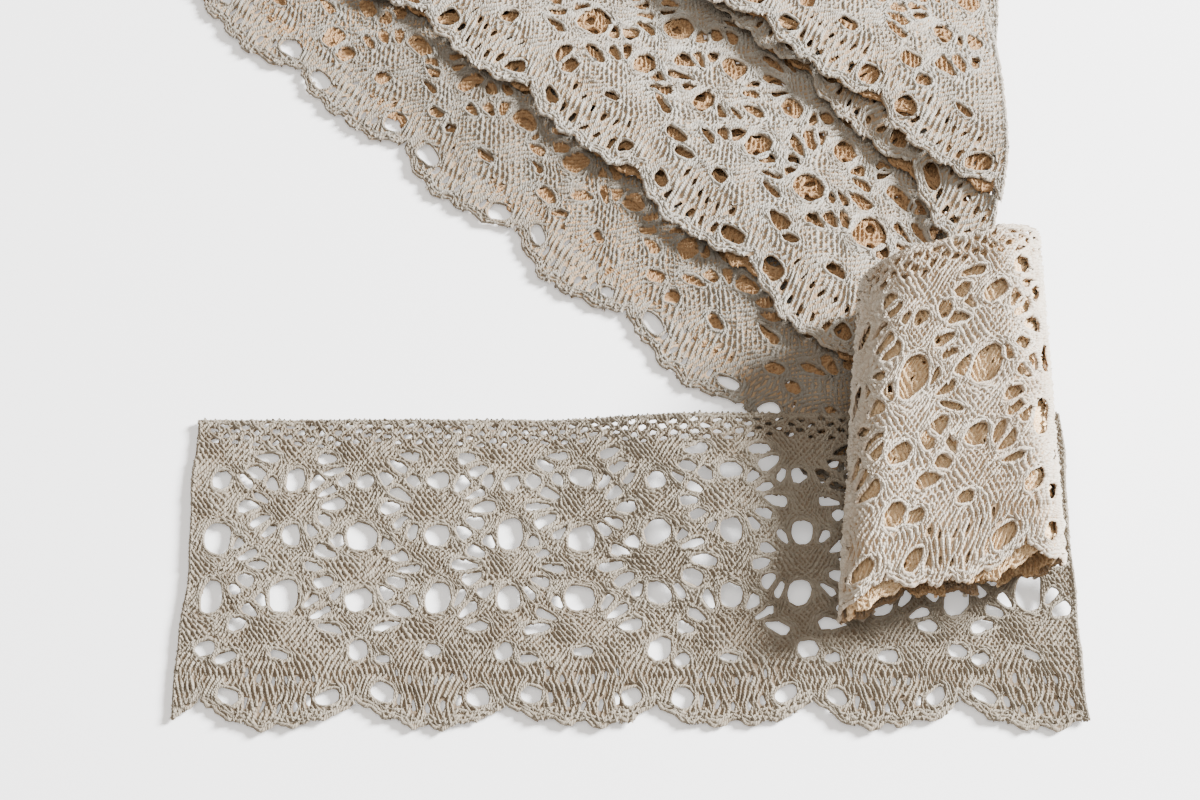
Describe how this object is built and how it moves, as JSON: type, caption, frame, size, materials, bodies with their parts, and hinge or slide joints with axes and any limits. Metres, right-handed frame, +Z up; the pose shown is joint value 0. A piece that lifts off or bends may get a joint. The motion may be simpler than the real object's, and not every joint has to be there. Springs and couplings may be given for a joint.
{
  "type": "roll of lace trim",
  "caption": "Wide scalloped cotton lace trim wound into a flat fanned hank, one turn folded over on top, with its loose end laid out flat",
  "frame": {"origin": "on the surface that the hank lies on, under the middle of the whole outline", "axes": "+Z up; +X along the loose end, towards the roll; +Y away from the scalloped edge of the loose end"},
  "size_m": [0.2584, 0.3108, 0.0415],
  "materials": {
    "lace": "matte unbleached cotton bobbin lace",
    "loose_lace": "matte unbleached cotton bobbin lace"
  },
  "bodies": {
    "root": {"roll": "lace", "loose_end": "loose_lace"}
  },
  "joints": []
}
